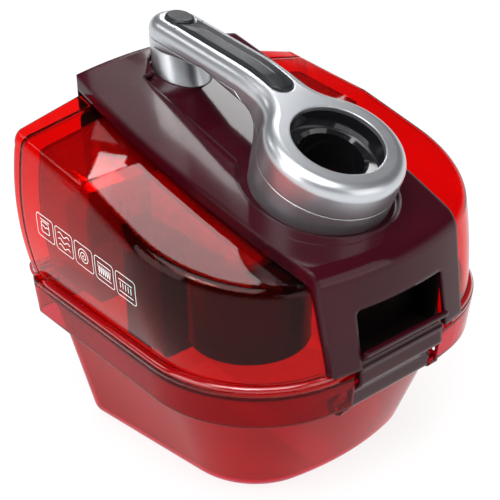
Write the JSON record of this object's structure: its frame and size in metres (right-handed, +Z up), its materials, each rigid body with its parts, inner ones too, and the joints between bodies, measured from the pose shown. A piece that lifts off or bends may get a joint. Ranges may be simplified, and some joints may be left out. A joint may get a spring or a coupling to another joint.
{
  "type": "cyclone dust bin",
  "caption": "Cyclone dust bin of a vacuum cleaner: latched cover with hose socket, carrying handle and release button on a translucent tub, with cyclone tube and filter inside.",
  "frame": {"origin": "centre of the plan outline on the floor the bin stands on", "axes": "+Z up, -Y towards the front latch, +X to the bin's right side seen from behind it"},
  "size_m": [0.244, 0.235, 0.2578],
  "materials": {
    "frosted_red": "frosted translucent",
    "clear_red": "clear, high gloss",
    "maroon": "high gloss",
    "silver": "satin silver paint",
    "soft_grip": "soft touch",
    "gloss_black": "high gloss",
    "black_plastic": "fine grain",
    "smoke": "tinted, translucent",
    "black_rubber": "matt",
    "steel": "zinc",
    "foam": "open-cell foam",
    "paper": "pleated filter paper"
  },
  "bodies": {
    "tub": {"dust_tub": "frosted_red", "rim_seal": "black_rubber", "latch_pin": "steel", "hinge_pins": "steel"},
    "cover": {"upper_shell": "clear_red", "spine_cover": "maroon", "latch_pocket": "black_plastic", "handle_lower": "silver", "handle_upper": "silver", "grip_insert": "soft_grip", "inlet_socket": "gloss_black", "inlet_seal": "black_rubber", "inlet_duct": "smoke", "cyclone_tube": "smoke", "vortex_finder": "black_plastic", "mesh_screen": "steel", "air_hood": "smoke", "filter_housing": "black_plastic", "foam_filter": "foam", "filter_frame": "black_plastic", "filter_pleats": "paper", "rear_chamber": "smoke", "outlet_seal": "black_rubber", "outlet_grille": "black_plastic", "spine_screws": "steel", "handle_screws": "steel", "grille_screws": "steel", "button_spring": "steel"},
    "latch": {"latch_flap": "maroon"},
    "release": {"release_button": "soft_grip", "push_rod": "black_plastic"}
  },
  "joints": [
    {"name": "cover_hinge", "type": "hinge", "parent": "tub", "child": "cover", "pos_m": [0, 0.112, 0.10215], "axis": [-1, 0, 0], "range_deg": [0, 80]},
    {"name": "latch_hinge", "type": "hinge", "parent": "tub", "child": "latch", "pos_m": [0, -0.1025, 0.077], "axis": [1, 0, 0], "range_deg": [0, 70]},
    {"name": "release_slide", "type": "slide", "parent": "cover", "child": "release", "axis": [0, 0, -1], "range_m": [0, 0.0035], "stiffness_N_per_m": 600, "springref_m": -0.002, "deforming": ["button_spring"]}
  ]
}
